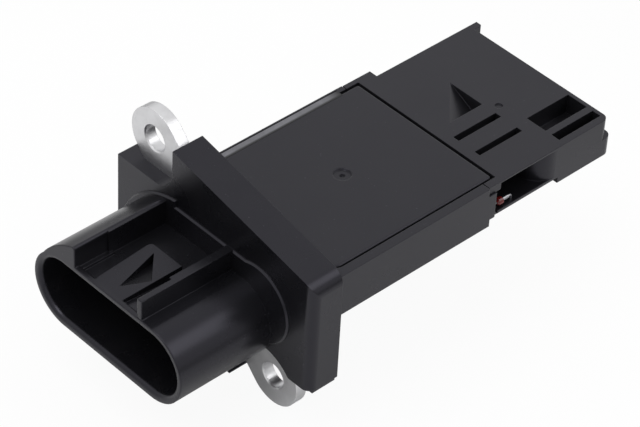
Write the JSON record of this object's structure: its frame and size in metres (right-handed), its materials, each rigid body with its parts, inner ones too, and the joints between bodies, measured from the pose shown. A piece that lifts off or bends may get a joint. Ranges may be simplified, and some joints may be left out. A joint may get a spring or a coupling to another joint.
{
  "type": "mass airflow sensor",
  "caption": "Plug-in mass airflow sensor: keyed connector shroud and screw flange on a flat blade with a circuit cover and an air passage.",
  "frame": {"origin": "on the flange's seating face, midway between the two screw holes", "axes": "+X the way the blade goes into the duct, from connector to tip; +Z the side with the circuit cover; +Y completes the right-handed frame"},
  "size_m": [0.0945, 0.0499, 0.0448],
  "materials": {
    "housing_plastic": "fine mould texture, black",
    "cover_plastic": "fine mould texture, black",
    "bypass_plastic": "fine mould texture, black",
    "ear_metal": "pressed sheet steel",
    "sealant": "cured sealant",
    "spreader_metal": "satin",
    "board_ceramic": "fired ceramic",
    "chip_epoxy": "moulded epoxy",
    "capacitor_body": "fired ceramic",
    "resistor_body": "glazed film",
    "strap_metal": "bright",
    "terminal_metal": "tin plated",
    "pin_metal": "drawn wire",
    "element_glass": "glazed",
    "bead_coating": "glossy dipped coating",
    "lead_metal": "tinned wire"
  },
  "bodies": {
    "root": {"air_lead_looped": "lead_metal", "air_lead_short": "lead_metal", "air_temperature_bead": "bead_coating", "bond_strap_1": "strap_metal", "bond_strap_2": "strap_metal", "bond_strap_3": "strap_metal", "bond_strap_4": "strap_metal", "bond_strap_5": "strap_metal", "bypass_cover": "bypass_plastic", "capacitor_1": "capacitor_body", "capacitor_2": "capacitor_body", "capacitor_3": "capacitor_body", "capacitor_4": "capacitor_body", "circuit_board": "board_ceramic", "circuit_cover": "cover_plastic", "cold_element": "element_glass", "control_chip": "chip_epoxy", "cover_seal_bead": "sealant", "element_pin_1": "pin_metal", "element_pin_2": "pin_metal", "element_pin_3": "pin_metal", "element_pin_4": "pin_metal", "heat_spreader": "spreader_metal", "hot_element": "element_glass", "housing": "housing_plastic", "lower_mounting_ear": "ear_metal", "regulator_chip": "chip_epoxy", "resistor_1": "resistor_body", "resistor_2": "resistor_body", "resistor_3": "resistor_body", "resistor_4": "resistor_body", "terminal_1": "terminal_metal", "terminal_2": "terminal_metal", "terminal_3": "terminal_metal", "terminal_4": "terminal_metal", "terminal_5": "terminal_metal", "upper_mounting_ear": "ear_metal"}
  },
  "joints": []
}
